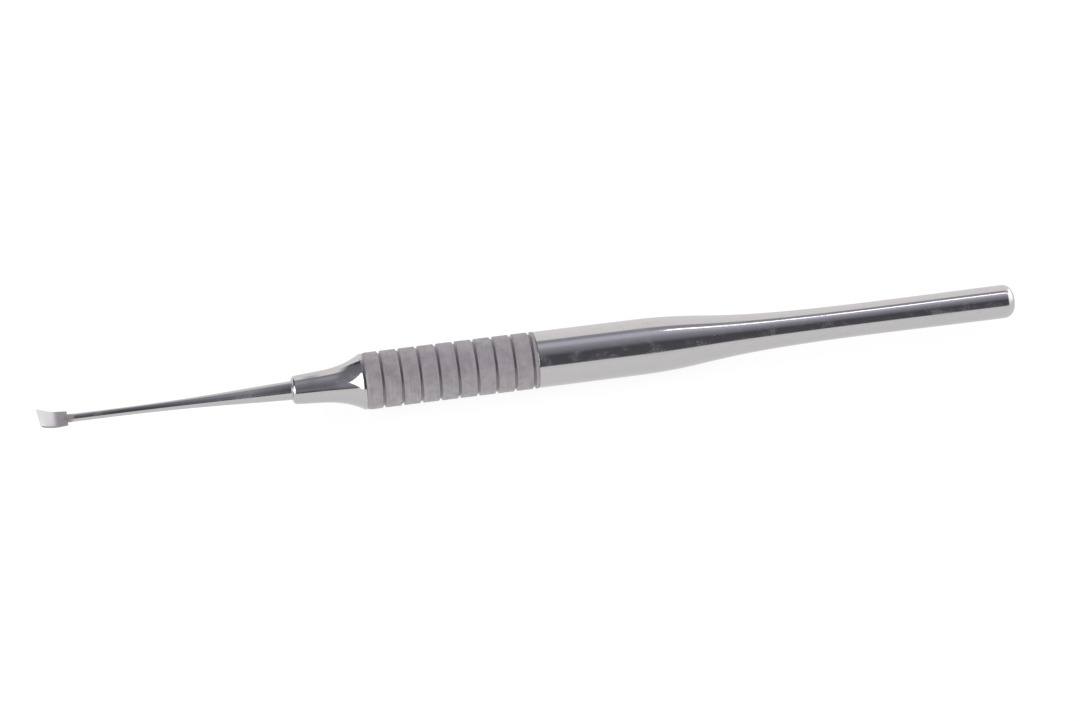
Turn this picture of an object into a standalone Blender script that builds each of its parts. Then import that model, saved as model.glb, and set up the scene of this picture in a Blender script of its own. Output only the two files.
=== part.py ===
"""A dental elevator: a small curled blade on a tapered shank, in a turned steel handle.

The instrument lies on the floor on its grip, with its long axis along X. The blade's edge
points to -X, the butt to +X, and the blade's hollow face looks up. All sizes are in metres.
Every turned outline is a list of (radius, station) pairs, where a station is the distance
from the tip of the blade. An outline runs from the butt end to the blade end down its outer
side, and back up its bore.
"""

import math

import bmesh
import bpy

# --- Blade: a thin plate, flared and curled up towards its slanted cutting edge.
BLADE_LENGTH = 0.0052
BLADE_HEEL_WIDTH = 0.0032
BLADE_EDGE_WIDTH = 0.00425
BLADE_THICKNESS = 0.00040
BLADE_EDGE_THICKNESS = 0.00010
BLADE_GRIND = 0.0003
BLADE_SLANT = 0.0005
BLADE_CURL_LENGTH = 0.0038
BLADE_CURL_RISE = 0.00095
BLADE_RINGS = 9

# --- Shank and tang: one forging with the blade.
SHANK_LENGTH = 0.03909
SHANK_FRONT_RADIUS = 0.00072
SHANK_REAR_RADIUS = 0.00166
SHANK_FRONT_SLOPE = 0.006
SHANK_REAR_SLOPE = 0.03
NECK_SINK = 0.0007
TANG_CHAMFER = 0.0004

# --- Nose cone: a trumpet that carries the shank, with a spigot inside the grip.
NOSE_LENGTH = 0.0124
NOSE_FACE_WIDTH = 0.00016
NOSE_LIP = 0.0004
NOSE_STEP = 0.00001
NOSE_TAPER = 0.11
NOSE_FLARE = 0.62
NOSE_REAR_LAND = 0.0004
NOSE_SPIGOT_LENGTH = 0.0080

# --- Brazing filler round the shank, in front of the nose cone.
FILLER_WIDTH = 0.00045
FILLER_REAR_WALL = 0.00030
FILLER_FRONT_WALL = 0.00018

# --- Grip sleeve: a tube with V-grooves that part it into bands.
GRIP_RADIUS = 0.0050
GRIP_WALL = 0.0014
GRIP_CHAMFER_DEPTH = 0.00006
GRIP_CHAMFER_LENGTH = 0.0006
GRIP_FRONT_LAND = 0.00290
GRIP_REAR_LAND = 0.00060
GROOVE_COUNT = 9
GROOVE_PITCH = 0.003325
GROOVE_WIDTH = 0.0007
GROOVE_DEPTH = 0.0005
GRIP_REAR_BREAK = 0.00012

# --- Tang bush and joint spigot: hidden inside the handle.
BUSH_LENGTH = 0.0100
SPIGOT_LENGTH_IN_GRIP = 0.0055
SPIGOT_LENGTH_IN_BODY = 0.0100
SPIGOT_BORE_RADIUS = 0.0015
HIDDEN_CHAMFER = 0.0003

# --- Rear body: a cylinder that is drawn in to a waist and swells again to the butt.
BODY_STEP = 0.00001
BODY_CYLINDER_LENGTH = 0.0195
BODY_WAIST_LENGTH = 0.0420
BODY_STEM_LENGTH = 0.0251
BODY_DROP = 0.00003
BODY_SLOPE = 0.02
WAIST_RADIUS = 0.00292
BUTT_RADIUS = 0.00299
BUTT_ROUNDING = 0.0019
BODY_BORE_RUNOUT = 0.0040
BODY_BORE_TAPER_LENGTH = 0.0270

# --- Butt plug: closes the bore of the rear body.
PLUG_RADIUS = 0.0012
PLUG_LENGTH = 0.0060
PLUG_CHAMFER = 0.0001

# --- Fits and mesh fineness.
GAP = 0.0003
ROUND_STEPS = 36
SMALL_ROUND_STEPS = 24
MERGE = 0.000001

# --- Sizes worked out from the ones above.
HEEL = BLADE_LENGTH
NECK_TIP_RADIUS = BLADE_THICKNESS * 0.4
NOSE_FRONT = HEEL + SHANK_LENGTH
NOSE_REAR = NOSE_FRONT + NOSE_LENGTH
TANG_BORE_RADIUS = SHANK_REAR_RADIUS + GAP
NOSE_FRONT_RADIUS = TANG_BORE_RADIUS + NOSE_FACE_WIDTH + NOSE_LIP
NOSE_REAR_RADIUS = GRIP_RADIUS - GRIP_CHAMFER_DEPTH - NOSE_STEP
GRIP_FRONT = NOSE_REAR + GAP
FIRST_GROOVE = GRIP_FRONT + GRIP_FRONT_LAND
LAST_GROOVE = FIRST_GROOVE + (GROOVE_COUNT - 1) * GROOVE_PITCH
GRIP_REAR = LAST_GROOVE + GRIP_REAR_LAND
GRIP_BORE_RADIUS = GRIP_RADIUS - GRIP_WALL
GRIP_FIT_RADIUS = GRIP_BORE_RADIUS - GAP
SPIGOT_FRONT = GRIP_REAR - SPIGOT_LENGTH_IN_GRIP
TANG_END = SPIGOT_FRONT - GAP
BODY_RADIUS = GRIP_RADIUS - BODY_STEP
BODY_FRONT = GRIP_REAR + GAP
SPIGOT_REAR = BODY_FRONT + SPIGOT_LENGTH_IN_BODY
CYLINDER_END = BODY_FRONT + BODY_CYLINDER_LENGTH
WAIST = CYLINDER_END + BODY_WAIST_LENGTH
BUTT = WAIST + BODY_STEM_LENGTH
STEM_BORE_RADIUS = PLUG_RADIUS + GAP
AXIS_HEIGHT = GRIP_RADIUS
MIDDLE = BUTT / 2.0


def make_material(name, colour, roughness):
    material = bpy.data.materials.new(name)
    material.use_nodes = True
    shader = material.node_tree.nodes["Principled BSDF"]
    shader.inputs["Base Color"].default_value = (*colour, 1.0)
    shader.inputs["Metallic"].default_value = 1.0
    shader.inputs["Roughness"].default_value = roughness
    material.diffuse_color = (*colour, 1.0)
    return material


def make_collection(name):
    collection = bpy.data.collections.new(name)
    bpy.context.scene.collection.children.link(collection)
    return collection


def curve_points(start, end, start_slope, end_slope, start_pull, end_pull, count):
    """Points of a cubic curve between two (radius, station) pairs, both ends included.

    A slope is the change of radius per unit of station. A pull is how far along the
    station each handle reaches.
    """
    handle_a = (start[0] + start_slope * start_pull, start[1] + start_pull)
    handle_b = (end[0] - end_slope * end_pull, end[1] - end_pull)
    points = []
    for step in range(count + 1):
        t = step / count
        weights = ((1 - t) ** 3, 3 * t * (1 - t) ** 2, 3 * t * t * (1 - t), t ** 3)
        corners = (start, handle_a, handle_b, end)
        radius = sum(w * c[0] for w, c in zip(weights, corners))
        station = sum(w * c[1] for w, c in zip(weights, corners))
        points.append((radius, station))
    return points


def arc_points(centre, radius, start_angle, end_angle, count):
    """Points of an arc about a (radius, station) pair; angle 0 points away from the axis."""
    points = []
    for step in range(count + 1):
        angle = start_angle + (end_angle - start_angle) * step / count
        points.append((centre[0] + radius * math.cos(angle), centre[1] + radius * math.sin(angle)))
    return points


def make_turned(name, outline, material, collection, steps, hollow):
    """Turn an outline about the instrument's axis; a hollow outline closes on itself."""
    edges = [(i, i + 1) for i in range(len(outline) - 1)]
    if hollow:
        edges.append((len(outline) - 1, 0))
    mesh = bpy.data.meshes.new(name)
    mesh.from_pydata([(radius, 0.0, station - MIDDLE) for radius, station in outline], edges, [])
    mesh.materials.append(material)
    piece = bpy.data.objects.new(name, mesh)
    collection.objects.link(piece)
    piece.location = (0.0, 0.0, AXIS_HEIGHT)
    piece.rotation_euler = (0.0, math.pi / 2.0, 0.0)
    screw = piece.modifiers.new("turn", "SCREW")
    screw.axis = "Z"
    screw.angle = math.tau
    screw.steps = steps
    screw.render_steps = steps
    screw.use_merge_vertices = True
    screw.merge_threshold = MERGE
    screw.use_smooth_shade = True
    return piece


def blade_station(ring):
    """Distance of a ring of the plate from its edge, as a share of the blade's length."""
    grind = BLADE_GRIND / BLADE_LENGTH
    return 0.0 if ring == 0 else grind + (1.0 - grind) * (ring - 1) / (BLADE_RINGS - 1)


def make_blade_plate(collection):
    """The plate: a cuboid cut into rings, each ring then moved to its place on the curl."""
    shape = bmesh.new()
    bmesh.ops.create_cube(shape, size=2.0)
    lengthwise = [e for e in shape.edges if abs(e.verts[0].co.x - e.verts[1].co.x) > 1.0]
    bmesh.ops.subdivide_edges(shape, edges=lengthwise, cuts=BLADE_RINGS - 1, use_grid_fill=True)
    for corner in shape.verts:
        share = blade_station(round((corner.co.x + 1.0) / 2.0 * BLADE_RINGS))
        side = corner.co.y
        half_width = (BLADE_EDGE_WIDTH + (BLADE_HEEL_WIDTH - BLADE_EDGE_WIDTH) * share) / 2.0
        slant = BLADE_SLANT * (1.0 - side) / 2.0 * (1.0 - share)
        station = share * BLADE_LENGTH + slant
        curl = max(0.0, 1.0 - station / BLADE_CURL_LENGTH) ** 2 * BLADE_CURL_RISE
        top = curl + BLADE_THICKNESS / 2.0
        thickness = BLADE_EDGE_THICKNESS if share == 0.0 else BLADE_THICKNESS
        height = top if corner.co.z > 0.0 else top - thickness
        corner.co = (station - MIDDLE, side * half_width, AXIS_HEIGHT + height)
    bmesh.ops.recalc_face_normals(shape, faces=shape.faces)
    mesh = bpy.data.meshes.new("blade_plate")
    shape.to_mesh(mesh)
    shape.free()
    plate = bpy.data.objects.new("blade_plate", mesh)
    collection.objects.link(plate)
    plate.hide_render = True
    plate.display_type = "WIRE"
    return plate


def make_working_end(material, collection, cutters):
    """Blade, shank and tang in one piece. The tang is the shank's full thickness."""
    neck = (SHANK_FRONT_RADIUS, HEEL)
    shoulder = (SHANK_REAR_RADIUS, NOSE_FRONT)
    shank = curve_points(neck, shoulder, -SHANK_FRONT_SLOPE, SHANK_REAR_SLOPE,
                         SHANK_LENGTH * 0.59, SHANK_LENGTH * 0.28, 12)
    outline = [
        (0.0, TANG_END),
        (SHANK_REAR_RADIUS - TANG_CHAMFER, TANG_END),
        (SHANK_REAR_RADIUS, TANG_END - TANG_CHAMFER),
        *reversed(shank),
        (NECK_TIP_RADIUS, HEEL - NECK_SINK),
        (0.0, HEEL - NECK_SINK),
    ]
    piece = make_turned("working_end", outline, material, collection, SMALL_ROUND_STEPS, False)
    union = piece.modifiers.new("blade", "BOOLEAN")
    union.operation = "UNION"
    union.solver = "EXACT"
    union.object = make_blade_plate(cutters)


def make_nose_cone(material, collection):
    lip = arc_points((NOSE_FRONT_RADIUS - NOSE_LIP, NOSE_FRONT + NOSE_LIP), NOSE_LIP,
                     0.0, -math.pi / 2.0, 3)
    flare_end = (NOSE_REAR_RADIUS, NOSE_REAR - NOSE_REAR_LAND)
    flare = curve_points(lip[0], flare_end, NOSE_TAPER, NOSE_FLARE,
                         NOSE_LENGTH * 0.29, NOSE_LENGTH * 0.30, 12)
    spigot_end = NOSE_REAR + NOSE_SPIGOT_LENGTH
    outline = [
        (GRIP_FIT_RADIUS - HIDDEN_CHAMFER, spigot_end),
        (GRIP_FIT_RADIUS, spigot_end - HIDDEN_CHAMFER),
        (GRIP_FIT_RADIUS, NOSE_REAR),
        (NOSE_REAR_RADIUS, NOSE_REAR),
        *reversed(flare),
        *lip[1:],
        (TANG_BORE_RADIUS, NOSE_FRONT),
        (TANG_BORE_RADIUS, spigot_end),
    ]
    make_turned("nose_cone", outline, material, collection, ROUND_STEPS, True)


def make_braze_filler(material, collection):
    rear = NOSE_FRONT - GAP
    front = rear - FILLER_WIDTH
    outline = [
        (TANG_BORE_RADIUS + FILLER_REAR_WALL, rear),
        (TANG_BORE_RADIUS + FILLER_FRONT_WALL, front),
        (TANG_BORE_RADIUS, front),
        (TANG_BORE_RADIUS, rear),
    ]
    make_turned("braze_filler", outline, material, collection, SMALL_ROUND_STEPS, True)


def make_grip_sleeve(material, collection):
    outline = [
        (GRIP_RADIUS - GRIP_REAR_BREAK, GRIP_REAR),
        (GRIP_RADIUS, GRIP_REAR - GRIP_REAR_BREAK),
    ]
    for groove in reversed(range(GROOVE_COUNT)):
        centre = FIRST_GROOVE + groove * GROOVE_PITCH
        outline.append((GRIP_RADIUS, centre + GROOVE_WIDTH / 2.0))
        outline.append((GRIP_RADIUS - GROOVE_DEPTH, centre))
        outline.append((GRIP_RADIUS, centre - GROOVE_WIDTH / 2.0))
    outline += [
        (GRIP_RADIUS, GRIP_FRONT + GRIP_CHAMFER_LENGTH),
        (GRIP_RADIUS - GRIP_CHAMFER_DEPTH, GRIP_FRONT),
        (GRIP_BORE_RADIUS, GRIP_FRONT),
        (GRIP_BORE_RADIUS, GRIP_REAR),
    ]
    make_turned("grip_sleeve", outline, material, collection, ROUND_STEPS, True)


def make_tang_bush(material, collection):
    front = TANG_END - BUSH_LENGTH
    outline = [
        (GRIP_FIT_RADIUS - HIDDEN_CHAMFER, TANG_END),
        (GRIP_FIT_RADIUS, TANG_END - HIDDEN_CHAMFER),
        (GRIP_FIT_RADIUS, front + HIDDEN_CHAMFER),
        (GRIP_FIT_RADIUS - HIDDEN_CHAMFER, front),
        (TANG_BORE_RADIUS, front),
        (TANG_BORE_RADIUS, TANG_END),
    ]
    make_turned("tang_bush", outline, material, collection, SMALL_ROUND_STEPS, True)


def make_joint_spigot(material, collection):
    outline = [
        (GRIP_FIT_RADIUS - HIDDEN_CHAMFER, SPIGOT_REAR),
        (GRIP_FIT_RADIUS, SPIGOT_REAR - HIDDEN_CHAMFER),
        (GRIP_FIT_RADIUS, SPIGOT_FRONT + HIDDEN_CHAMFER),
        (GRIP_FIT_RADIUS - HIDDEN_CHAMFER, SPIGOT_FRONT),
        (SPIGOT_BORE_RADIUS, SPIGOT_FRONT),
        (SPIGOT_BORE_RADIUS, SPIGOT_REAR),
    ]
    make_turned("joint_spigot", outline, material, collection, SMALL_ROUND_STEPS, True)


def make_rear_body(material, collection):
    cylinder_end = (BODY_RADIUS - BODY_DROP, CYLINDER_END)
    waist = curve_points(cylinder_end, (WAIST_RADIUS, WAIST), -BODY_SLOPE, 0.0,
                         BODY_WAIST_LENGTH * 0.31, BODY_WAIST_LENGTH * 0.74, 14)
    rounding_start = BUTT - BUTT_ROUNDING
    stem_length = rounding_start - WAIST
    stem = curve_points((WAIST_RADIUS, WAIST), (BUTT_RADIUS, rounding_start), 0.0, 0.0,
                        stem_length * 0.4, stem_length * 0.4, 4)
    rounding_centre = (BUTT_RADIUS - BUTT_ROUNDING, rounding_start)
    mouth_radius = max(STEM_BORE_RADIUS, rounding_centre[0])
    mouth = math.acos((mouth_radius - rounding_centre[0]) / BUTT_ROUNDING)
    rounding = arc_points(rounding_centre, BUTT_ROUNDING, mouth, 0.0, 6)
    if STEM_BORE_RADIUS < mouth_radius:
        rounding.insert(0, (STEM_BORE_RADIUS, BUTT))
    bore_end = SPIGOT_REAR + BODY_BORE_RUNOUT
    outline = [
        *rounding,
        *reversed(stem[:-1]),
        *reversed(waist[:-1]),
        (BODY_RADIUS, BODY_FRONT),
        (GRIP_BORE_RADIUS, BODY_FRONT),
        (GRIP_BORE_RADIUS, bore_end),
        (STEM_BORE_RADIUS, bore_end + BODY_BORE_TAPER_LENGTH),
    ]
    make_turned("rear_body", outline, material, collection, ROUND_STEPS, True)


def make_butt_plug(material, collection):
    outline = [
        (0.0, BUTT),
        (PLUG_RADIUS - PLUG_CHAMFER, BUTT),
        (PLUG_RADIUS, BUTT - PLUG_CHAMFER),
        (PLUG_RADIUS, BUTT - PLUG_LENGTH),
        (0.0, BUTT - PLUG_LENGTH),
    ]
    make_turned("butt_plug", outline, material, collection, SMALL_ROUND_STEPS, False)


def main():
    for leftover in list(bpy.data.objects):
        bpy.data.objects.remove(leftover, do_unlink=True)
    parts = make_collection("dental_elevator")
    cutters = make_collection("cutters")
    make_working_end(make_material("blade_steel", (0.62, 0.60, 0.61), 0.30), parts, cutters)
    make_nose_cone(make_material("nose_steel", (0.66, 0.65, 0.65), 0.12), parts)
    make_braze_filler(make_material("braze_silver", (0.70, 0.68, 0.62), 0.30), parts)
    make_grip_sleeve(make_material("blasted_steel", (0.34, 0.32, 0.33), 0.62), parts)
    make_tang_bush(make_material("bush_steel", (0.50, 0.50, 0.50), 0.45), parts)
    make_joint_spigot(make_material("spigot_steel", (0.50, 0.50, 0.50), 0.45), parts)
    make_rear_body(make_material("body_steel", (0.66, 0.65, 0.65), 0.10), parts)
    make_butt_plug(make_material("plug_steel", (0.66, 0.65, 0.65), 0.14), parts)


main()
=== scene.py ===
"""The finished look of a dental elevator: a forged working end in a turned steel handle.

The long axis runs along X at the height of the handle's middle, with the blade towards -X.
Outlines are lists of (x, radius) pairs in metres, and they are turned about that axis.
"""

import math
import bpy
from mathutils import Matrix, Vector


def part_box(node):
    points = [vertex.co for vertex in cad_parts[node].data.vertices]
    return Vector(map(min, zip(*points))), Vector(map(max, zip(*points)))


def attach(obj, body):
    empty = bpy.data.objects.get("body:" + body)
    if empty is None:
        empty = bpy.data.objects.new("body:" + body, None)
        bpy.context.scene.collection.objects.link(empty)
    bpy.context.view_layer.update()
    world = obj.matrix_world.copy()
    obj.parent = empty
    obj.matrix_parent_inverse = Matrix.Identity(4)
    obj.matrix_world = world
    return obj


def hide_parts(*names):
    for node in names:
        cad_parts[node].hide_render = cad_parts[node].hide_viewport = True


bl_info = {
    "name": "Dental elevator",
    "version": (1, 0, 0),
    "blender": (4, 5, 0),
    "location": "3D View > Sidebar > Elevator",
    "description": "Models and finishes a dental elevator round its frame of solids",
    "category": "Object",
}

import bpy
from mathutils import Vector

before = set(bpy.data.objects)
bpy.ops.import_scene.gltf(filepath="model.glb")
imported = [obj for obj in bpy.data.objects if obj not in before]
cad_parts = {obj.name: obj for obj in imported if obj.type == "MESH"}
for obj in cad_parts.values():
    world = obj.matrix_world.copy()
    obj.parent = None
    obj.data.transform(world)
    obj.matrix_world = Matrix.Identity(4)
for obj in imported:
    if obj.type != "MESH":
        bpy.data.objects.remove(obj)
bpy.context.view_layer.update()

ROOT = "root"
END_LOW, END_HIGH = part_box("working_end")
NOSE_LOW, NOSE_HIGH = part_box("nose_cone")
GRIP_LOW, GRIP_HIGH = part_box("grip_sleeve")
BODY_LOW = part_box("rear_body")[0]
PLUG_LOW, PLUG_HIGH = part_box("butt_plug")
SPIGOT_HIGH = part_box("joint_spigot")[1]
AXIS_Z = (GRIP_LOW.z + GRIP_HIGH.z) / 2.0
AXIS = (1.0, 0.0, 0.0)

# How meshes are made: the side of the plane that an outline starts from, the distance under
# which two points are one, the sides of a large and a small turned piece, and the angle past
# which an edge stays sharp.
SPECK = 0.0001
WELD = 0.0000005
FINE_STEPS = 160
SMALL_STEPS = 96
CREASE = math.radians(32.0)

# Depth of the marks in a finish, for its Bump nodes.
POLISH_RELIEF = 0.0000012
WAVE_RELIEF = 0.00002
BLAST_RELIEF = 0.00002
NECK_RELIEF = 0.000008
SOLDER_RELIEF = 0.00002
TURNING_RELIEF = 0.000006


# ---------------------------------------------------------------- settings

def length(default, name, description):
    """A size in metres."""
    return bpy.props.FloatProperty(name=name, description=description, default=default,
                                   min=0.0, precision=6, subtype="DISTANCE", unit="LENGTH")


def share(default, name, description):
    """A part of one."""
    return bpy.props.FloatProperty(name=name, description=description, default=default,
                                   min=0.0, max=1.0, subtype="FACTOR")


def strength(default, name, description, unit="NONE"):
    """A brightness, a power or a focal length, none of which falls below nought."""
    return bpy.props.FloatProperty(name=name, description=description, default=default,
                                   min=0.0, unit=unit)


def turn(default, name, description):
    """An angle, given in degrees and kept in radians."""
    return bpy.props.FloatProperty(name=name, description=description, subtype="ANGLE",
                                   unit="ROTATION", default=math.radians(default))


def colour(default, name, description):
    """A red, green and blue."""
    return bpy.props.FloatVectorProperty(name=name, description=description, default=default,
                                         size=3, min=0.0, max=1.0, subtype="COLOR")


def place(default, name, description):
    """A point in the scene."""
    return bpy.props.FloatVectorProperty(name=name, description=description, default=default,
                                         size=3, subtype="XYZ_LENGTH", unit="LENGTH")


class ElevatorShape(bpy.types.PropertyGroup):
    """Sizes of the instrument that its frame of solids doesn't give."""

    blade_length: length(0.0052, "Blade length", "From the tip to the heel")
    heel_width: length(0.0032, "Heel width", "Width of the blade where the neck meets it")
    edge_width: length(0.00425, "Edge width", "Width of the blade along its cutting edge")
    blade_thickness: length(0.00040, "Blade thickness", "Thickness of the plate")
    edge_thickness: length(0.0001, "Edge thickness", "Thickness left at the cutting edge")
    grind: length(0.0003, "Grind", "Length of the bevel ground under the cutting edge")
    slant: length(0.0005, "Slant", "How far the far corner leads the near one")
    curl_length: length(0.0038, "Curl length", "How far from the tip the blade curls")
    curl_rise: length(0.00095, "Curl rise", "How far the curl lifts the tip")
    neck_radius: length(0.00072, "Neck radius", "Radius of the shank behind the blade")
    shank_radius: length(0.00166, "Shank radius", "Radius of the shank at the nose cone")
    nose_radius: length(0.00252, "Nose radius", "Radius of the nose cone's front")
    nose_lip: length(0.00078, "Nose lip", "Rounding of the nose cone's front edge")
    nose_rear_radius: length(0.00493, "Flare radius", "Radius of the nose cone at the grip")
    nose_land: length(0.0004, "Nose land", "Straight length behind the nose cone's flare")
    grip_bore: length(0.0036, "Bore", "Bore radius of the grip and of the rear body's front")
    groove_count: bpy.props.IntProperty(name="Grooves", description="Grooves in the grip",
                                        default=9, min=1)
    groove_pitch: length(0.003325, "Groove pitch", "From one groove to the next")
    groove_width: length(0.0007, "Groove width", "Width of a groove at its mouth")
    groove_depth: length(0.0005, "Groove depth", "Depth of a groove")
    front_land: length(0.00303, "Front land", "From the grip's front to its first groove")
    grip_chamfer: length(0.0006, "Grip chamfer", "Length of the grip's front chamfer")
    chamfer_depth: length(0.0002, "Chamfer depth", "Depth of the grip's front chamfer")
    body_radius: length(0.00499, "Body radius", "Radius of the rear body's cylinder")
    cylinder_length: length(0.0195, "Cylinder", "Length of the rear body's cylinder")
    waist_length: length(0.0420, "Waist", "From the cylinder's end to the thinnest place")
    waist_radius: length(0.00292, "Waist radius", "Radius of the thinnest place")
    butt_radius: length(0.00299, "Butt radius", "Radius near the butt")
    butt_rounding: length(0.0019, "Butt rounding", "Rounding of the butt's edge")
    plug_radius: length(0.0012, "Plug radius", "Radius of the butt plug")
    seam: length(0.00002, "Seam", "Width of the line between two fitted pieces")


class ElevatorFinish(bpy.types.PropertyGroup):
    """Colours and smoothness of the finishes."""

    polished: colour((0.505, 0.492, 0.496), "Polished steel", "Colour of the polished steel")
    blasted: colour((0.45, 0.427, 0.442), "Blasted steel", "Colour of the blasted grip")
    # The blade's colour is partly a satin grind's and partly painted light: it is lighter than the
    # polished steel to stand in for the light that the curled tip catches.
    satin: colour((0.635, 0.628, 0.66), "Satin steel", "Colour of the blade")
    filler: colour((0.60, 0.585, 0.56), "Filler", "Colour of the brazing filler")
    turned: colour((0.50, 0.49, 0.49), "Turned steel", "Colour of the hidden pieces")
    polish: share(0.075, "Polish", "Roughness of the polished steel")
    blast: share(0.72, "Blast", "Roughness of the blasted steel")
    groove_roughness: share(0.40, "Grooves", "Roughness inside the grip's grooves")
    satin_roughness: share(0.30, "Satin", "Roughness of the blade")


class ElevatorStage(bpy.types.PropertyGroup):
    """Camera, floor and light."""

    azimuth: turn(-10.2, "Azimuth", "Angle of the camera round the object")
    elevation: turn(44.0, "Elevation", "Angle of the camera above the floor")
    distance: length(0.70, "Distance", "From the camera to the point that it aims at")
    aim: place((0.0010, -0.0015, 0.0062), "Aim", "The point that the camera aims at")
    lens: strength(133.2, "Lens", "Focal length in millimetres", "CAMERA")
    floor_colour: colour((0.22, 0.22, 0.22), "Floor", "Colour of the floor")
    floor_glow: share(0.87, "Floor glow", "Share of the floor's brightness that is its own")
    floor_size: length(6.0, "Floor size", "Side of the floor")
    surroundings: strength(1.17, "Surroundings", "Strength of the light all round")
    side_light: strength(7.4, "Side light", "Power of the softbox beyond the tip", "POWER")
    strip_light: strength(0.38, "Strip light", "Power of the strip light overhead", "POWER")


# ---------------------------------------------------------------- outlines

def curve_between(start, end, start_slope, end_slope, start_pull, end_pull, count):
    """Points of a cubic curve between two (x, radius) pairs, both ends included.

    A pull is the distance along X over which the curve is drawn towards its slope at that end.
    """
    handle_a = (start[0] + start_pull, start[1] + start_slope * start_pull)
    handle_b = (end[0] - end_pull, end[1] - end_slope * end_pull)
    points = []
    for step in range(count + 1):
        t = step / count
        weights = ((1 - t) ** 3, 3 * t * (1 - t) ** 2, 3 * t * t * (1 - t), t ** 3)
        corners = (start, handle_a, handle_b, end)
        points.append(tuple(sum(w * c[k] for w, c in zip(weights, corners)) for k in (0, 1)))
    return points


def arc_about(centre, radius, start_angle, end_angle, count):
    """Points of an arc; angle 0 points along +X and a right angle away from the axis."""
    points = []
    for step in range(count + 1):
        angle = start_angle + (end_angle - start_angle) * step / count
        points.append((centre[0] + radius * math.cos(angle), centre[1] + radius * math.sin(angle)))
    return points


def soften(corners, count=4):
    """An outline from (x, radius, rounding) corners, each rounded corner made an arc."""
    points = []
    for index, (x, radius, rounding) in enumerate(corners):
        here = Vector((x, radius))
        if rounding == 0.0:
            points.append((x, radius))
            continue
        before = Vector(corners[index - 1][:2]) - here
        after = Vector(corners[(index + 1) % len(corners)][:2]) - here
        half = before.angle(after) / 2.0
        reach = rounding / math.tan(half)
        centre = here + (before.normalized() + after.normalized()).normalized() * (
            rounding / math.sin(half))
        first = here + before.normalized() * reach - centre
        last = here + after.normalized() * reach - centre
        sweep = first.angle_signed(last)
        for step in range(count + 1):
            angle = math.atan2(first.y, first.x) - sweep * step / count
            points.append((centre.x + rounding * math.cos(angle),
                           centre.y + rounding * math.sin(angle)))
    return points


# ---------------------------------------------------------------- modelling

def start_alone():
    """Leave edit mode and let go of everything, so that the next primitive is alone."""
    if bpy.context.object and bpy.context.object.mode != "OBJECT":
        bpy.ops.object.mode_set(mode="OBJECT")
    bpy.ops.object.select_all(action="DESELECT")


def settle():
    """Put the piece's place in its mesh, so that its object stands at the origin."""
    bpy.ops.object.mode_set(mode="OBJECT")
    bpy.ops.object.transform_apply(location=True, rotation=True, scale=True)


def turn_outline(name, outline, steps, hollow):
    """Draw an outline above the axis by extruding one vertex, then spin it about the axis.

    A hollow piece's outline is closed; any other one starts and ends on the axis.
    """
    start_alone()
    x, radius = outline[0]
    bpy.ops.mesh.primitive_plane_add(size=SPECK, location=(x, 0.0, AXIS_Z + radius))
    piece = bpy.context.object
    piece.name = name
    piece.data.name = name
    bpy.ops.object.mode_set(mode="EDIT")
    bpy.ops.mesh.select_mode(type="VERT")
    bpy.ops.mesh.select_all(action="SELECT")
    bpy.ops.mesh.merge(type="CENTER")
    route = outline[1:] + outline[:1] if hollow else outline[1:]
    for next_x, next_radius in route:
        move = (next_x - x, 0.0, next_radius - radius)
        bpy.ops.mesh.extrude_vertices_move(TRANSFORM_OT_translate={"value": move})
        x, radius = next_x, next_radius
    bpy.ops.mesh.select_all(action="SELECT")
    bpy.ops.mesh.remove_doubles(threshold=WELD)
    bpy.ops.mesh.spin(steps=steps, angle=math.tau, center=(0.0, 0.0, AXIS_Z), axis=AXIS)
    bpy.ops.mesh.select_all(action="SELECT")
    bpy.ops.mesh.remove_doubles(threshold=WELD)
    bpy.ops.mesh.normals_make_consistent(inside=False)
    settle()
    bpy.ops.object.shade_smooth_by_angle(angle=CREASE)
    return piece


def join_solids(piece, other):
    """Union of two closed solids; the second one is used up."""
    start_alone()
    piece.select_set(True)
    bpy.context.view_layer.objects.active = piece
    union = piece.modifiers.new("join", "BOOLEAN")
    union.operation = "UNION"
    union.solver = "EXACT"
    union.object = other
    bpy.ops.object.modifier_apply(modifier=union.name)
    bpy.data.objects.remove(other, do_unlink=True)
    bpy.ops.object.shade_smooth_by_angle(angle=CREASE)


def finish_piece(piece, material, slot, *nodes):
    """Give the piece its finish, let it ride on the frame and stand for its solids."""
    if not piece.data.polygons:
        raise RuntimeError(f"{piece.name} has no faces")
    piece.data.materials.clear()
    piece.data.materials.append(material)
    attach(piece, ROOT)
    if nodes:
        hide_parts(*nodes)


# ---------------------------------------------------------------- shading

class Number:
    """A node's output that can be used in sums; each operator adds one Math node."""

    def __init__(self, nodes, socket):
        self.nodes = nodes
        self.socket = socket

    def math(self, operation, *values):
        settings = {"operation": operation}
        return self.nodes.add("ShaderNodeMath", settings, dict(enumerate(values)))[0]

    def __add__(self, other):
        return self.math("ADD", self, other)

    def __sub__(self, other):
        return self.math("SUBTRACT", self, other)

    def __rsub__(self, other):
        return self.math("SUBTRACT", other, self)

    def __mul__(self, other):
        return self.math("MULTIPLY", self, other)

    def __truediv__(self, other):
        return self.math("DIVIDE", self, other)

    def __pow__(self, other):
        return self.math("POWER", self, other)

    def angle_over(self, other):
        """The angle, in radians, whose rise is this number and whose run is the other."""
        return self.math("ARCTAN2", self, other)

    __radd__ = __add__
    __rmul__ = __mul__


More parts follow.
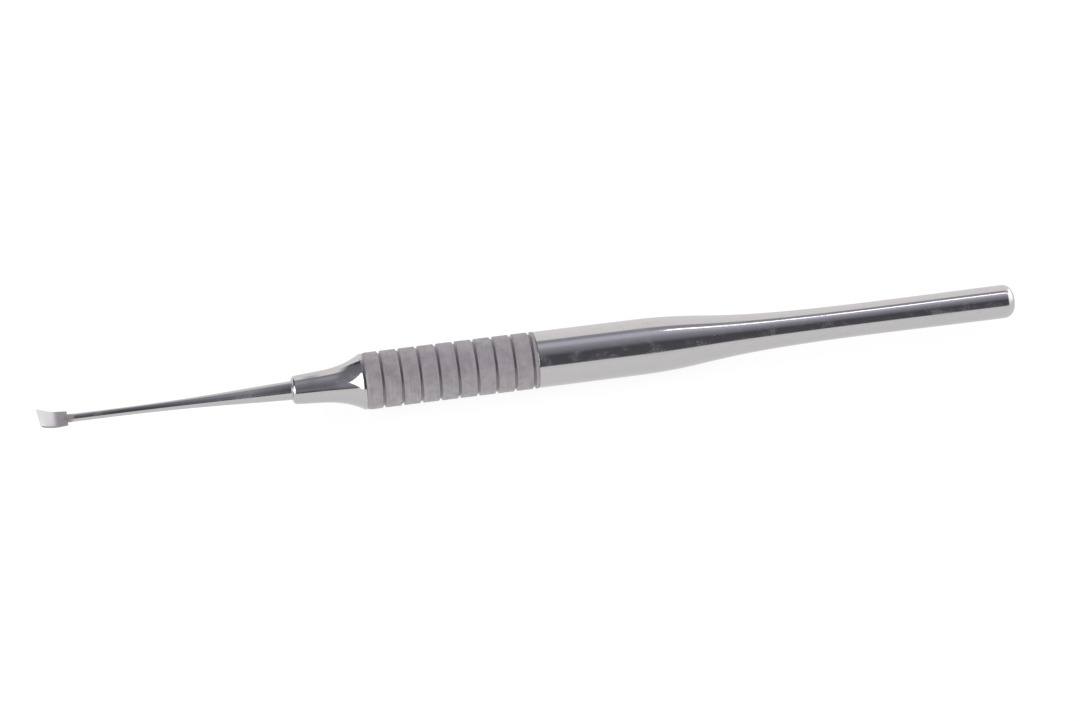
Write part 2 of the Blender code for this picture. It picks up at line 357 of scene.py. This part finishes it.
class Nodes:
    """A node tree and the one method that adds nodes to it."""

    def __init__(self, tree):
        self.tree = tree

    def add(self, kind, settings=None, inputs=None):
        """A new node: its settings are made first, then its sockets are fed or linked."""
        node = self.tree.nodes.new(kind)
        for key, value in (settings or {}).items():
            if key == "stops":
                self.set_stops(node.color_ramp, value)
            else:
                setattr(node, key, value)
        for key, value in (inputs or {}).items():
            self.feed(node.inputs[key], value)
        return Outputs(self, node)

    def set_stops(self, ramp, stops):
        """Give a colour ramp its (position, colour) stops."""
        while len(ramp.elements) < len(stops):
            ramp.elements.new(1.0)
        for element, (position, value) in zip(ramp.elements, stops):
            element.position = position
            element.color = (*value, 1.0)

    def feed(self, socket, value):
        """Link a socket to a number's node, or set its own value."""
        if isinstance(value, Number):
            self.tree.links.new(value.socket, socket)
        elif socket.type == "RGBA" and len(value) == 3:
            socket.default_value = (*value, 1.0)
        else:
            socket.default_value = value

    def mix(self, mask, low, high):
        """A colour between two colours."""
        settings = {"data_type": "RGBA", "blend_type": "MIX"}
        factor, first, second, result = 0, 6, 7, 2
        return self.add("ShaderNodeMix", settings,
                        {factor: mask, first: low, second: high})[result]

    def ramp(self, value, low, high, to_low=0.0, to_high=1.0):
        """A smooth step from one value to another."""
        settings = {"interpolation_type": "SMOOTHSTEP", "clamp": True}
        return self.add("ShaderNodeMapRange", settings, {
            "Value": value, "From Min": low, "From Max": high,
            "To Min": to_low, "To Max": to_high})["Result"]


class Outputs:
    """The outputs of a node, by name or by place."""

    def __init__(self, nodes, node):
        self.nodes = nodes
        self.node = node

    def __getitem__(self, key):
        return Number(self.nodes, self.node.outputs[key])


class Finish(Nodes):
    """A material with a Principled shader, patterned on object coordinates."""

    def __init__(self, name):
        self.material = bpy.data.materials.new(name)
        self.material.use_nodes = True
        super().__init__(self.material.node_tree)
        self.shader = self.tree.nodes["Principled BSDF"]
        self.place = self.add("ShaderNodeTexCoord")["Object"]

    def shade(self, **values):
        """Feed the shader's sockets, named with underscores for spaces."""
        for key, value in values.items():
            self.feed(self.shader.inputs[key.replace("_", " ")], value)

    def stretched(self, along, across):
        """Object coordinates with one scale along the instrument and one across it."""
        settings = {"vector_type": "POINT"}
        return self.add("ShaderNodeMapping", settings, {
            "Vector": self.place,
            "Location": (0.0, 0.0, -AXIS_Z * across),
            "Scale": (along, across, across),
        })["Vector"]

    def noise(self, place, scale, detail=2.0, roughness=0.5, distortion=0.0):
        """Cloudy grey between 0 and 1."""
        return self.add("ShaderNodeTexNoise", {"noise_dimensions": "3D"}, {
            "Vector": place, "Scale": scale, "Detail": detail,
            "Roughness": roughness, "Distortion": distortion,
        })["Fac"]

    def spots(self, place, scale):
        """Distance from the nearest of many scattered points, in cells."""
        settings = {"feature": "F1", "voronoi_dimensions": "3D"}
        return self.add("ShaderNodeTexVoronoi", settings, {
            "Vector": place, "Scale": scale, "Randomness": 1.0})["Distance"]

    def bump(self, height, distance, normal=None):
        """A normal that follows a height, on top of another normal where one is given."""
        inputs = {"Height": height, "Distance": distance, "Strength": 1.0}
        if normal is not None:
            inputs["Normal"] = normal
        return self.add("ShaderNodeBump", None, inputs)["Normal"]


def polished_layers(finish, colours, roughness):
    """Mirror-polished steel: its colour, metal, roughness, height and waves.

    Fine buffing lines and hairlines run round and along it, and handling has left a thin film
    in strands, and specks, which are duller and show less of the metal.
    """
    buffing = finish.noise(finish.stretched(9000.0, 260.0), 1.0, 3.0)
    hairlines = finish.noise(finish.stretched(160.0, 7000.0), 1.0, 2.0, 0.6)
    cloud = finish.noise(finish.place, 260.0, 3.0, 0.55)
    smear = finish.noise(finish.stretched(230.0, 420.0), 1.0, 4.0, 0.62, 0.5)
    speck = finish.ramp(finish.spots(finish.place, 1900.0), 0.16, 0.06)
    rare = finish.ramp(finish.noise(finish.place, 300.0), 0.50, 0.62)
    pits = speck * rare
    lines = finish.ramp(hairlines, 0.60, 0.72)
    smudge = finish.ramp(smear, 0.50, 0.72)
    strands = finish.ramp(finish.noise(finish.stretched(4200.0, 420.0), 1.0, 2.0), 0.40, 0.62)
    film = smudge * (0.35 + 0.65 * strands)
    dull = tuple(c * 0.93 for c in colours)
    tone = finish.mix(cloud * 0.6 + buffing * 0.4, dull, colours)
    rough = roughness + 0.09 * film + 0.03 * lines + 0.02 * buffing + 0.25 * pits
    height = 0.35 * buffing + 0.35 * hairlines - 0.8 * pits
    wave = finish.noise(finish.stretched(60.0, 160.0), 1.0, 1.0, 0.4)
    metal = 1.0 - 0.26 * film - 0.6 * pits
    return tone, metal, rough, height, finish.bump(wave, WAVE_RELIEF)


def make_polished(settings):
    finish = Finish("mirror_polish")
    tone, metal, rough, height, waves = polished_layers(finish, tuple(settings.polished),
                                                        settings.polish)
    finish.shade(Base_Color=tone, Metallic=metal, Roughness=rough)
    finish.shade(Normal=finish.bump(height, POLISH_RELIEF, waves))
    return finish.material


def make_blasted(settings):
    """Matt mottled steel, whose groove walls are barer and smoother than its bands."""
    finish = Finish("blasted_grip")
    grain = finish.noise(finish.place, 11000.0, 3.0, 0.65)
    dimples = finish.spots(finish.place, 7000.0)
    cloud = finish.noise(finish.place, 620.0, 4.0, 0.65)
    turning = finish.noise(finish.stretched(5200.0, 150.0), 1.0, 2.0)
    colours = tuple(settings.blasted)
    dark = tuple(c * 0.74 for c in colours)
    mottle = grain * 0.35 + cloud * 0.45 + turning * 0.20
    tone = finish.mix(finish.ramp(mottle, 0.36, 0.62), dark, tuple(c * 1.04 for c in colours))
    rough = settings.blast + 0.10 * (cloud - 0.5) + 0.08 * (grain - 0.5)
    parts = finish.add("ShaderNodeSeparateXYZ", None, {"Vector": finish.place})
    radius = (parts["Y"] ** 2.0 + (parts["Z"] - AXIS_Z) ** 2.0) ** 0.5
    outside = GRIP_HIGH.z - AXIS_Z
    wall_starts, wall_full = 0.00009, 0.00017
    wall = finish.ramp(radius, outside - wall_full, outside - wall_starts, 1.0, 0.0)
    bare = finish.mix(cloud, tuple(c * 0.86 for c in colours), colours)
    finish.shade(Base_Color=finish.mix(wall, tone, bare), Metallic=0.5 + 0.45 * wall)
    finish.shade(Roughness=rough + wall * (settings.groove_roughness - rough))
    relief = (grain * 0.6 + dimples * 0.5 + turning * 0.3) * (1.0 - 0.8 * wall)
    finish.shade(Normal=finish.bump(relief, BLAST_RELIEF))
    return finish.material


def make_working_steel(name, settings, shape, ground_and_lit_share):
    """Finishes that follow one another along the instrument.

    The blade and the neck are blasted, and the shank is polished from a little way behind the
    heel, where the polish starts hazy and clears. The ground share is 1 for the blade's hollow
    face, which is ground to a satin near its edge, and 0 for the rest. Near the edge that face's
    colour is also made lighter, as painted light for the light that the curled tip catches.
    """
    finish = Finish(name)
    tone, metal, rough, height, waves = polished_layers(finish, tuple(settings.polished),
                                                        settings.polish)
    grain = finish.noise(finish.place, 15000.0, 3.0, 0.6)
    strokes = finish.noise(finish.stretched(1500.0, 16000.0), 1.0, 3.0, 0.6)
    cloud = finish.noise(finish.place, 900.0, 2.0)
    blasted = tuple(settings.blasted)
    satin = tuple(settings.satin)
    along = finish.add("ShaderNodeSeparateXYZ", None, {"Vector": finish.place})["X"]
    wobble = along + 0.0004 * (cloud - 0.5)
    # Painted light: towards the tip, the hollow face fades to the lighter blade colour, standing
    # in for the light that the curled tip catches; its roughness also drops to the satin's there.
    ground_and_lit_start, ground_and_lit_end = END_LOW.x + 0.0025, END_LOW.x + 0.0036
    ground_and_lit = finish.ramp(wobble, ground_and_lit_start, ground_and_lit_end, ground_and_lit_share, 0.0)
    blasted_tone = finish.mix(grain, tuple(c * 0.84 for c in blasted), blasted)
    satin_and_lit_tone = finish.mix(strokes * 0.6 + cloud * 0.4, tuple(c * 0.90 for c in satin), satin)
    matte_and_lit_tone = finish.mix(ground_and_lit, blasted_tone, satin_and_lit_tone)
    matte_rough = settings.blast + ground_and_lit * (settings.satin_roughness - settings.blast)
    heel = END_LOW.x + shape.blade_length
    polish = finish.ramp(wobble, heel + 0.0005, heel + 0.0014)
    haze = finish.ramp(wobble, heel + 0.0010, heel + 0.0100, 0.10, 0.0)
    finish.shade(Base_Color=finish.mix(polish, matte_and_lit_tone, tone), Metallic=metal)
    finish.shade(Roughness=matte_rough + polish * (rough + haze - matte_rough))
    relief = grain * (1.0 - ground_and_lit) + strokes * ground_and_lit * 0.5
    matte_normal = finish.bump(relief * (1.0 - polish), NECK_RELIEF, waves)
    finish.shade(Normal=finish.bump(height * polish, POLISH_RELIEF, matte_normal))
    return finish.material


def make_filler(settings):
    """Hard solder that has flowed and set a little unevenly."""
    finish = Finish("hard_solder")
    flow = finish.noise(finish.place, 2600.0, 3.0)
    colours = tuple(settings.filler)
    tone = finish.mix(flow, tuple(c * 0.8 for c in colours), colours)
    finish.shade(Base_Color=tone, Metallic=1.0, Roughness=0.22 + 0.16 * flow)
    finish.shade(Normal=finish.bump(flow, SOLDER_RELIEF))
    return finish.material


def make_turned(settings):
    """Unpolished steel with the rings that a lathe tool leaves."""
    finish = Finish("lathe_turned")
    rings = finish.noise(finish.stretched(14000.0, 120.0), 1.0, 2.0)
    cloud = finish.noise(finish.place, 500.0, 3.0)
    colours = tuple(settings.turned)
    tone = finish.mix(rings * 0.5 + cloud * 0.5, tuple(c * 0.8 for c in colours), colours)
    finish.shade(Base_Color=tone, Metallic=1.0, Roughness=0.30 + 0.12 * rings)
    finish.shade(Normal=finish.bump(rings, TURNING_RELIEF))
    return finish.material


def polished_steel(context):
    """The polish that several pieces share, made for the first of them."""
    return (bpy.data.materials.get("mirror_polish")
            or make_polished(context.scene.elevator_finish))


# ---------------------------------------------------------------- pieces

def ring_of_blade(shape, share_of_length):
    """The plate's centre line at a share of its length from the tip: its x and its rise."""
    station = share_of_length * shape.blade_length
    bend = max(0.0, 1.0 - station / shape.curl_length)
    return END_LOW.x + station, bend ** 2 * shape.curl_rise


def model_blade(shape):
    """A slice at the heel, whose front face is extruded ring by ring out to the edge.

    Each ring is lifted along the curl, widened, and turned about the upright to give the edge
    its slant. The last two rings are thinned from below, which grinds the bevel.
    """
    rings = 26
    edge_break = 0.00004
    sharp_edge = math.radians(60.0)
    heel_slice = shape.blade_length / rings
    heel = END_LOW.x + shape.blade_length
    start_alone()
    bpy.ops.mesh.primitive_cube_add(size=1.0, location=(heel - heel_slice / 2.0, 0.0, AXIS_Z),
                                    scale=(heel_slice, shape.heel_width, shape.blade_thickness))
    blade = bpy.context.object
    blade.name = "blade_plate"
    bpy.ops.object.transform_apply(location=True, rotation=True, scale=True)
    bpy.ops.object.mode_set(mode="EDIT")
    bpy.ops.mesh.select_mode(type="FACE")
    bpy.ops.mesh.select_all(action="DESELECT")
    bpy.ops.object.mode_set(mode="OBJECT")
    for face in blade.data.polygons:
        face.select = face.normal.x < -0.9
    bpy.ops.object.mode_set(mode="EDIT")
    x, rise = ring_of_blade(shape, 1.0 - 1.0 / rings)
    width = shape.heel_width
    turned = 0.0
    thinned = 1.0
    slant_angle = math.atan(shape.slant / shape.edge_width)
    grind_share = shape.grind / shape.blade_length
    shares = [1.0 - k / rings for k in range(2, rings + 1) if 1.0 - k / rings > grind_share]
    shares += [grind_share, grind_share * 0.5, 0.0]
    for part in shares:
        next_x, next_rise = ring_of_blade(shape, part)
        next_x += shape.slant / 2.0 * (1.0 - part)
        bpy.ops.mesh.extrude_region_move(
            TRANSFORM_OT_translate={"value": (next_x - x, 0.0, next_rise - rise)})
        centre = (next_x, 0.0, AXIS_Z + next_rise)
        next_width = shape.edge_width + (shape.heel_width - shape.edge_width) * part
        bpy.ops.transform.resize(value=(1.0, next_width / width, 1.0), center_override=centre)
        next_turned = -slant_angle * (1.0 - part)
        bpy.ops.transform.rotate(value=next_turned - turned, orient_axis="Z",
                                 center_override=centre)
        if part < grind_share:
            top = (next_x, 0.0, AXIS_Z + next_rise + shape.blade_thickness / 2.0)
            left = shape.edge_thickness / shape.blade_thickness if part == 0.0 else 0.5
            bpy.ops.transform.resize(value=(1.0, 1.0, left / thinned), center_override=top)
            thinned = left
        x, rise, width, turned = next_x, next_rise, next_width, next_turned
    bpy.ops.mesh.select_all(action="SELECT")
    bpy.ops.mesh.normals_make_consistent(inside=False)
    bpy.ops.object.mode_set(mode="OBJECT")
    edges = blade.modifiers.new("edges", "BEVEL")
    edges.width = edge_break
    edges.segments = 3
    edges.limit_method = "ANGLE"
    edges.angle_limit = sharp_edge
    bpy.ops.object.modifier_apply(modifier=edges.name)
    return blade


def shank_outline(shape):
    """From the tang's end, inside the handle, down to the neck sunk in the plate."""
    heel = END_LOW.x + shape.blade_length
    shoulder = NOSE_LOW.x
    reach = shoulder - heel
    neck_slope, rear_slope = -0.006, 0.03
    neck_pull, rear_pull = reach * 0.59, reach * 0.28
    shank = curve_between((heel, shape.neck_radius), (shoulder, shape.shank_radius),
                          neck_slope, rear_slope, neck_pull, rear_pull, 60)
    sink = shape.neck_radius - shape.blade_thickness * 0.4
    fillet = arc_about((heel - sink, shape.neck_radius), sink, 0.0, -math.pi / 2.0, 8)
    tang_end = END_HIGH.x
    chamfer = 0.0004
    return [
        (tang_end, 0.0),
        (tang_end, shape.shank_radius - chamfer),
        (tang_end - chamfer, shape.shank_radius),
        *reversed(shank),
        *fillet[1:],
        (fillet[-1][0], 0.0),
    ]


def flare_points(shape):
    """The nose cone's outer curve, from its front lip back to the grip."""
    start = (NOSE_LOW.x + shape.nose_lip, shape.nose_radius)
    rear = GRIP_LOW.x - shape.seam
    reach = rear - NOSE_LOW.x
    taper, slope = 0.11, 0.62
    taper_pull, slope_pull = reach * 0.29, reach * 0.30
    turn_in = 0.0001
    edge = rear - shape.nose_land
    end = (edge - turn_in, shape.nose_rear_radius - turn_in * slope)
    flare = curve_between(start, end, taper, slope, taper_pull, slope_pull, 64)
    corner = curve_between(end, (edge + turn_in, shape.nose_rear_radius), slope, 0.0,
                           turn_in * 0.9, turn_in * 0.9, 8)
    return flare + corner[1:] + [(rear, shape.nose_rear_radius)]


def nose_outline(shape):
    """Front face, lip, flare, and the spigot that plugs the grip."""
    lip = arc_about((NOSE_LOW.x + shape.nose_lip, shape.nose_radius - shape.nose_lip),
                    shape.nose_lip, math.pi, math.pi / 2.0, 10)
    flare = flare_points(shape)
    spigot = shape.grip_bore - shape.seam
    bore = shape.shank_radius + shape.seam
    break_edge = 0.0003
    return [
        (NOSE_LOW.x, bore),
        *lip[:-1],
        *flare,
        (flare[-1][0], spigot),
        (NOSE_HIGH.x - break_edge, spigot),
        (NOSE_HIGH.x, spigot - break_edge),
        (NOSE_HIGH.x, bore),
    ]


def grip_outline(shape):
    """A tube with a chamfered front, parted into bands by V-grooves."""
    radius = GRIP_HIGH.z - AXIS_Z
    band_edge, groove_root = 0.00005, 0.00004
    end_edge, chamfer_blend = 0.00006, 0.0006
    corners = [
        (GRIP_LOW.x, shape.grip_bore, 0.0),
        (GRIP_LOW.x, radius - shape.chamfer_depth, end_edge),
        (GRIP_LOW.x + shape.grip_chamfer, radius, chamfer_blend),
    ]
    for groove in range(shape.groove_count):
        middle = GRIP_LOW.x + shape.front_land + groove * shape.groove_pitch
        corners.append((middle - shape.groove_width / 2.0, radius, band_edge))
        corners.append((middle, radius - shape.groove_depth, groove_root))
        corners.append((middle + shape.groove_width / 2.0, radius, band_edge))
    rear = BODY_LOW.x - shape.seam
    corners.append((rear, radius, end_edge))
    corners.append((rear, shape.grip_bore, 0.0))
    return soften(corners)


def body_outline(shape):
    """A cylinder drawn in to a waist, a stem that swells to the butt, and the bore.

    Three rings between the front edge and the cylinder's end keep the edge's rounding from
    tilting the shading of the whole cylinder.
    """
    front = BODY_LOW.x
    drop, shoulder_slope = 0.00003, -0.02
    shoulder_pull, waist_pull = shape.waist_length * 0.31, shape.waist_length * 0.74
    cylinder_end = (front + shape.cylinder_length, shape.body_radius - drop)
    waist_end = (cylinder_end[0] + shape.waist_length, shape.waist_radius)
    waist = curve_between(cylinder_end, waist_end, shoulder_slope, 0.0,
                          shoulder_pull, waist_pull, 90)
    rounding_x = PLUG_HIGH.x - shape.butt_rounding
    stem_pull = (rounding_x - waist_end[0]) * 0.4
    stem = curve_between(waist_end, (rounding_x, shape.butt_radius), 0.0, 0.0,
                         stem_pull, stem_pull, 84)
    hole = shape.plug_radius + shape.seam
    centre = (rounding_x, shape.butt_radius - shape.butt_rounding)
    mouth = math.asin((hole - centre[1]) / shape.butt_rounding)
    rounding = arc_about(centre, shape.butt_rounding, math.pi / 2.0, mouth, 20)
    edge = 0.00014
    bore_end = SPIGOT_HIGH.x + 0.004
    bore_taper = 0.027
    return [
        (front, shape.grip_bore),
        (front, shape.body_radius - edge),
        *arc_about((front + edge, shape.body_radius - edge), edge, math.pi, math.pi / 2.0, 4)[1:],
        (front + edge * 1.5, shape.body_radius),
        (front + edge * 3.0, shape.body_radius),
        (front + shape.cylinder_length / 2.0, shape.body_radius),
        *waist[:-1],
        *stem[:-1],
        *rounding,
        (bore_end + bore_taper, hole),
        (bore_end, shape.grip_bore),
    ]


def plug_outline(shape):
    """A plain plug with a broken edge at its face."""
    break_edge = 0.00005
    radius = shape.plug_radius
    return [
        (PLUG_HIGH.x, 0.0),
        (PLUG_HIGH.x, radius - break_edge),
        (PLUG_HIGH.x - break_edge, radius),
        (PLUG_LOW.x, radius),
        (PLUG_LOW.x, 0.0),
    ]


def filler_outline(shape):
    """A hollow fillet in the corner between the shank and the nose cone's face.

    A known fault: the half seams lie inside both ends of the arc, so the outline crosses itself
    there by 0.0075 mm, and the finished faces point inwards.
    """
    reach = 0.00013
    centre = (NOSE_LOW.x - reach, shape.shank_radius + reach)
    hollow = arc_about(centre, reach, -math.pi / 2.0, 0.0, 8)
    root = shape.shank_radius + shape.seam / 2.0
    return [(NOSE_LOW.x - shape.seam / 2.0, root), (centre[0], root), *hollow[1:-1],
            (NOSE_LOW.x - shape.seam / 2.0, centre[1])]


class ELEVATOR_OT_working_end(bpy.types.Operator):
    """Model the blade, neck, shank and tang as one forging"""

    bl_idname = "elevator.working_end"
    bl_label = "Working end"

    def execute(self, context):
        shape = context.scene.elevator_shape
        blade = model_blade(shape)
        piece = turn_outline("blade_and_shank", shank_outline(shape), SMALL_STEPS, False)
        join_solids(piece, blade)
        finishes = context.scene.elevator_finish
        steel = make_working_steel("satin_and_polish", finishes, shape, 0.0)
        finish_piece(piece, steel, "forged_steel", "working_end")
        # The blade's upward faces take the finish that is painted lighter towards the tip, painted
        # light for the light that the curled tip catches.
        piece.data.materials.append(make_working_steel("ground_and_lit_face", finishes, shape, 1.0))
        heel = END_LOW.x + shape.blade_length
        facing_up = 0.7
        for face in piece.data.polygons:
            if face.center.x < heel and face.normal.z > facing_up:
                face.material_index = 1
        return {"FINISHED"}


class ELEVATOR_OT_nose_cone(bpy.types.Operator):
    """Turn the polished nose cone with its spigot"""

    bl_idname = "elevator.nose_cone"
    bl_label = "Nose cone"

    def execute(self, context):
        shape = context.scene.elevator_shape
        piece = turn_outline("nose_trumpet", nose_outline(shape), FINE_STEPS, True)
        finish_piece(piece, polished_steel(context), "polished_steel", "nose_cone")
        return {"FINISHED"}


class ELEVATOR_OT_braze_filler(bpy.types.Operator):
    """Turn the fillet of brazing filler round the shank"""

    bl_idname = "elevator.braze_filler"
    bl_label = "Brazing filler"

    def execute(self, context):
        shape = context.scene.elevator_shape
        piece = turn_outline("braze_fillet", filler_outline(shape), SMALL_STEPS, True)
        finish_piece(piece, make_filler(context.scene.elevator_finish), "braze_silver",
                     "braze_filler")
        return {"FINISHED"}


class ELEVATOR_OT_grip_sleeve(bpy.types.Operator):
    """Turn the grooved grip sleeve"""

    bl_idname = "elevator.grip_sleeve"
    bl_label = "Grip sleeve"

    def execute(self, context):
        shape = context.scene.elevator_shape
        piece = turn_outline("grooved_grip", grip_outline(shape), FINE_STEPS, True)
        finish_piece(piece, make_blasted(context.scene.elevator_finish), "blasted_steel",
                     "grip_sleeve")
        return {"FINISHED"}


class ELEVATOR_OT_rear_body(bpy.types.Operator):
    """Turn the waisted rear body"""

    bl_idname = "elevator.rear_body"
    bl_label = "Rear body"

    def execute(self, context):
        shape = context.scene.elevator_shape
        piece = turn_outline("waisted_body", body_outline(shape), FINE_STEPS, True)
        finish_piece(piece, polished_steel(context), "polished_steel", "rear_body")
        return {"FINISHED"}


class ELEVATOR_OT_end_plug(bpy.types.Operator):
    """Turn the plug that closes the butt"""

    bl_idname = "elevator.end_plug"
    bl_label = "Butt plug"

    def execute(self, context):
        shape = context.scene.elevator_shape
        piece = turn_outline("end_plug", plug_outline(shape), SMALL_STEPS, False)
        finish_piece(piece, polished_steel(context), "polished_steel", "butt_plug")
        return {"FINISHED"}


class ELEVATOR_OT_hidden_pieces(bpy.types.Operator):
    """Give the bush and the spigot inside the handle their turned finish"""

    bl_idname = "elevator.hidden_pieces"
    bl_label = "Hidden pieces"

    def execute(self, context):
        material = make_turned(context.scene.elevator_finish)
        for node in ("tang_bush", "joint_spigot"):
            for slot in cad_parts[node].material_slots:
                slot.material = material
        return {"FINISHED"}


# ---------------------------------------------------------------- stage

def make_floor(stage):
    """A plain pale floor that is partly its own light, so that shadows on it stay faint."""
    start_alone()
    bpy.ops.mesh.primitive_plane_add(size=stage.floor_size, location=(0.0, 0.0, 0.0))
    floor = bpy.context.object
    floor.name = "floor"
    finish = Finish("floor_board")
    cloud = finish.noise(finish.place, 3.0, 2.0)
    tone = tuple(stage.floor_colour)
    finish.shade(Base_Color=finish.mix(cloud, tuple(c * 0.97 for c in tone), tone),
                 Roughness=0.8, Specular_IOR_Level=0.0)
    finish.shade(Emission_Color=(1.0, 1.0, 1.0), Emission_Strength=stage.floor_glow)
    floor.data.materials.append(finish.material)


# Brightness of each strip of the tent, as (degrees, level) pairs. The degrees run up from the
# camera's side of the floor, past overhead at 90, and down behind to the floor at 180.
OVERHEAD = (
    (0.0, 0.86), (10.0, 0.86), (14.0, 0.11), (50.0, 0.10), (56.0, 0.13), (60.0, 0.20),
    (77.0, 0.36), (86.0, 0.48), (92.0, 0.66), (103.0, 0.70), (110.0, 0.46), (114.0, 0.38),
    (122.0, 0.40), (127.0, 1.00), (180.0, 1.00))
OVER_SHANK = (
    (0.0, 0.86), (9.0, 0.86), (13.0, 0.07), (40.0, 0.07), (60.0, 0.09), (80.0, 0.12),
    (100.0, 0.18), (120.0, 0.30), (140.0, 0.40), (146.0, 0.85), (180.0, 0.95))
OVER_NOSE = (
    (0.0, 0.86), (9.0, 0.86), (12.0, 0.08), (17.0, 0.10), (25.0, 0.26), (36.0, 0.25),
    (48.0, 0.20), (72.0, 0.30), (86.0, 0.38), (96.0, 0.46), (110.0, 0.40), (116.0, 0.30),
    (122.0, 0.38), (127.0, 1.00), (180.0, 1.00))
BEYOND_TIP = (
    (0.0, 0.86), (9.0, 0.86), (12.0, 0.10), (20.0, 0.26), (34.0, 0.34), (60.0, 0.30),
    (80.0, 0.27), (105.0, 0.25), (138.0, 0.20), (149.0, 0.07), (156.0, 0.06), (160.0, 1.00),
    (180.0, 1.00))
BEYOND_BUTT = (
    (0.0, 0.90), (30.0, 1.10), (70.0, 1.60), (100.0, 2.00), (180.0, 2.00))
BRIGHTEST = 2.0
WARM_FROM = 0.7
WARM = (1.02, 1.00, 0.99)
COLD = (0.96, 0.96, 1.10)
# Where each strip takes over from the one before it, as the X of a unit direction: from the
# first number it fades in, and past the second it is alone.
TENT_STRIPS = (
    (0.60, 0.72, BEYOND_BUTT),
    (0.106, 0.086, OVER_SHANK),
    (0.020, -0.050, OVER_NOSE),
    (-0.20, -0.42, BEYOND_TIP),
)


def make_surroundings(stage):
    """A pale tent with a dark opening on the camera's side, brightest beyond the butt.

    It is made of strips that follow one another along X, each with its own run of levels.
    """
    world = bpy.data.worlds.new("studio")
    bpy.context.scene.world = world
    world.use_nodes = True
    nodes = Nodes(world.node_tree)
    direction = nodes.add("ShaderNodeTexCoord")["Generated"]
    parts = nodes.add("ShaderNodeSeparateXYZ", None, {"Vector": direction})
    turned = parts["Z"].angle_over(parts["Y"] * -1.0) / math.pi

    def strip(levels):
        stops = []
        for degrees, level in levels:
            tint = WARM if level > WARM_FROM else COLD
            stops.append((degrees / 180.0, tuple(level * t / BRIGHTEST for t in tint)))
        return nodes.add("ShaderNodeValToRGB", {"stops": stops}, {"Fac": turned})["Color"]

    tent = strip(OVERHEAD)
    for start, end, levels in TENT_STRIPS:
        tent = nodes.mix(nodes.ramp(parts["X"], start, end), tent, strip(levels))
    background = world.node_tree.nodes["Background"]
    nodes.feed(background.inputs["Color"], tent)
    background.inputs["Strength"].default_value = stage.surroundings * BRIGHTEST


def make_softbox(name, middle, turned, size_x, size_y, power):
    """An area light with its middle at a place; unturned, it faces straight down."""
    data = bpy.data.lights.new(name, "AREA")
    data.shape = "RECTANGLE"
    data.size = size_x
    data.size_y = size_y
    data.energy = power
    light = bpy.data.objects.new(name, data)
    bpy.context.scene.collection.objects.link(light)
    light.location = middle
    light.rotation_euler = turned


def make_lights(stage):
    """A square softbox beyond the tip, and a narrow strip overhead, beyond the butt."""
    side_place = Vector((-0.88, -0.32, 0.35)) * 1.2
    side_size = 0.80
    to_origin = side_place.to_track_quat("Z", "Y").to_euler()
    make_softbox("side_softbox", side_place, to_origin, side_size, side_size, stage.side_light)
    strip_reach, strip_width = 0.55, 0.036
    strip_start, strip_span = 0.16, 0.9
    lean = math.radians(103.0)
    strip_place = Vector((strip_start + strip_span / 2.0, -strip_reach * math.cos(lean),
                          strip_reach * math.sin(lean)))
    make_softbox("strip_softbox", strip_place, (math.pi / 2.0 - lean, 0.0, 0.0),
                 strip_span, strip_width, stage.strip_light)


def make_camera(stage):
    """A camera at a distance from the point that it aims at, level with the floor."""
    data = bpy.data.cameras.new("camera")
    data.sensor_width = 36.0
    data.lens = stage.lens
    data.clip_start = 0.01
    camera = bpy.data.objects.new("camera", data)
    bpy.context.scene.collection.objects.link(camera)
    back = Vector((math.sin(stage.azimuth) * math.cos(stage.elevation),
                   -math.cos(stage.azimuth) * math.cos(stage.elevation),
                   math.sin(stage.elevation)))
    camera.location = Vector(stage.aim) + back * stage.distance
    camera.rotation_euler = back.to_track_quat("Z", "Y").to_euler()
    bpy.context.scene.camera = camera


class ELEVATOR_OT_stage(bpy.types.Operator):
    """Set up the floor, the light and the camera"""

    bl_idname = "elevator.stage"
    bl_label = "Stage"

    def execute(self, context):
        stage = context.scene.elevator_stage
        make_floor(stage)
        make_surroundings(stage)
        make_lights(stage)
        make_camera(stage)
        context.scene.view_settings.view_transform = "Standard"
        return {"FINISHED"}


class ELEVATOR_PT_steps(bpy.types.Panel):
    """The steps that build the instrument, in order"""

    bl_idname = "ELEVATOR_PT_steps"
    bl_label = "Dental elevator"
    bl_space_type = "VIEW_3D"
    bl_region_type = "UI"
    bl_category = "Elevator"

    def draw(self, context):
        for step in STEPS:
            self.layout.operator(step.bl_idname)


STEPS = (
    ELEVATOR_OT_stage,
    ELEVATOR_OT_working_end,
    ELEVATOR_OT_braze_filler,
    ELEVATOR_OT_nose_cone,
    ELEVATOR_OT_grip_sleeve,
    ELEVATOR_OT_rear_body,
    ELEVATOR_OT_end_plug,
    ELEVATOR_OT_hidden_pieces,
)
CLASSES = (ElevatorShape, ElevatorFinish, ElevatorStage, *STEPS, ELEVATOR_PT_steps)


def register():
    for entry in CLASSES:
        bpy.utils.register_class(entry)
    bpy.types.Scene.elevator_shape = bpy.props.PointerProperty(type=ElevatorShape)
    bpy.types.Scene.elevator_finish = bpy.props.PointerProperty(type=ElevatorFinish)
    bpy.types.Scene.elevator_stage = bpy.props.PointerProperty(type=ElevatorStage)


def unregister():
    del bpy.types.Scene.elevator_shape
    del bpy.types.Scene.elevator_finish
    del bpy.types.Scene.elevator_stage
    for entry in reversed(CLASSES):
        bpy.utils.unregister_class(entry)


def carry_out(step):
    """Run one of the operators, and stop the script if it doesn't finish."""
    if step() != {"FINISHED"}:
        raise RuntimeError(f"{step.idname()} didn't finish")


def main():
    """Build the instrument on its stage."""
    register()
    carry_out(bpy.ops.elevator.stage)
    carry_out(bpy.ops.elevator.working_end)
    carry_out(bpy.ops.elevator.braze_filler)
    carry_out(bpy.ops.elevator.nose_cone)
    carry_out(bpy.ops.elevator.grip_sleeve)
    carry_out(bpy.ops.elevator.rear_body)
    carry_out(bpy.ops.elevator.end_plug)
    carry_out(bpy.ops.elevator.hidden_pieces)


if __name__ == "__main__":
    main()
